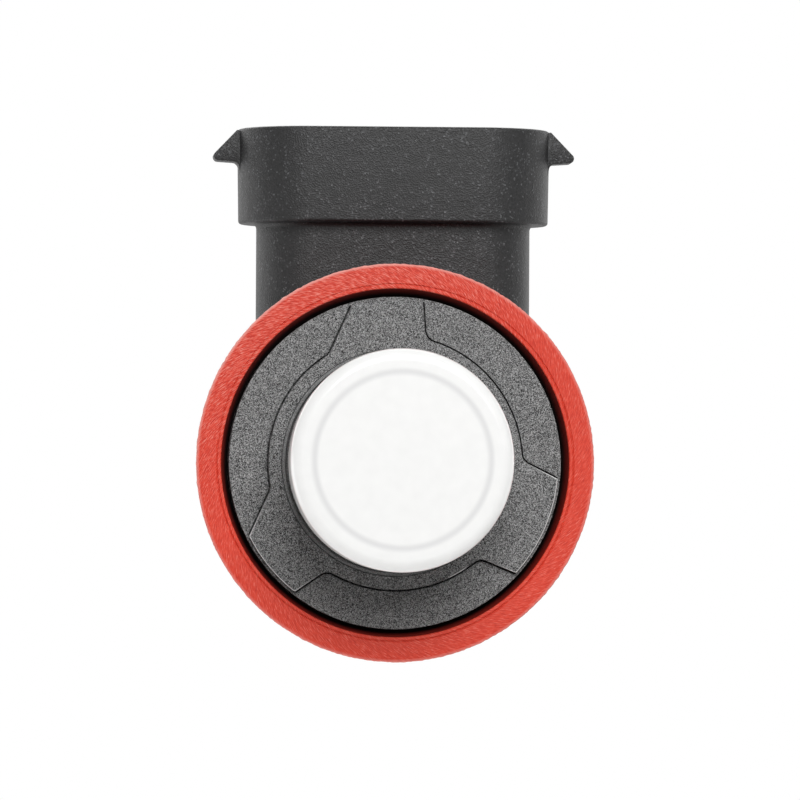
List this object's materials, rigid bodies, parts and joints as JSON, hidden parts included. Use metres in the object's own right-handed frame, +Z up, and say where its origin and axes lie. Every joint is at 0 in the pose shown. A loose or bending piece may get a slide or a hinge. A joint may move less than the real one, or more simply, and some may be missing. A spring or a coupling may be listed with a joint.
{
  "type": "ultrasonic parking sensor",
  "caption": "Ultrasonic parking sensor: white transducer head in a keyed face, red seal ring, round body and an upright sealed connector socket.",
  "frame": {"origin": "on the sensor's axis, on the flange face that the bracket lies against", "axes": "-Y is the way the sensor looks, +Z is up towards the connector's mouth, +X is to the right seen from the front"},
  "size_m": [0.0262, 0.025, 0.0354],
  "materials": {
    "housing": "glass-filled nylon, spark-eroded grain",
    "rear_cover": "glass-filled nylon, smooth",
    "seal": "red silicone rubber, fine moulding lines",
    "white_paint": "gloss white paint on aluminium",
    "soft_black": "black silicone rubber",
    "ceramic": "silver-faced piezo ceramic",
    "foam": "silicone foam",
    "potting": "grey silicone potting",
    "tinned_pin": "tin-plated copper alloy",
    "clamp": "natural nylon",
    "board": "green solder resist",
    "black_part": "black moulded epoxy",
    "ferrite": "ground ferrite",
    "copper": "enamelled copper wire",
    "capacitor": "fired ceramic",
    "diode_glass": "glass body",
    "carrier": "nylon"
  },
  "bodies": {
    "root": {"housing": "housing", "rear_cover": "rear_cover", "seal_ring": "seal", "transducer_cup": "white_paint", "decoupling_sleeve": "soft_black", "piezo_disc": "ceramic", "damping_pad": "foam", "cup_plug": "potting", "transducer_pin_live": "tinned_pin", "transducer_pin_ground": "tinned_pin", "clamp_ring": "clamp", "circuit_board": "board", "transformer_base": "black_part", "transformer_core": "ferrite", "transformer_winding": "copper", "driver_chip": "black_part", "capacitors": "capacitor", "resistors": "black_part", "diode": "diode_glass", "terminal_carrier": "carrier", "terminal_supply": "tinned_pin", "terminal_signal": "tinned_pin", "terminal_ground": "tinned_pin"}
  },
  "joints": []
}
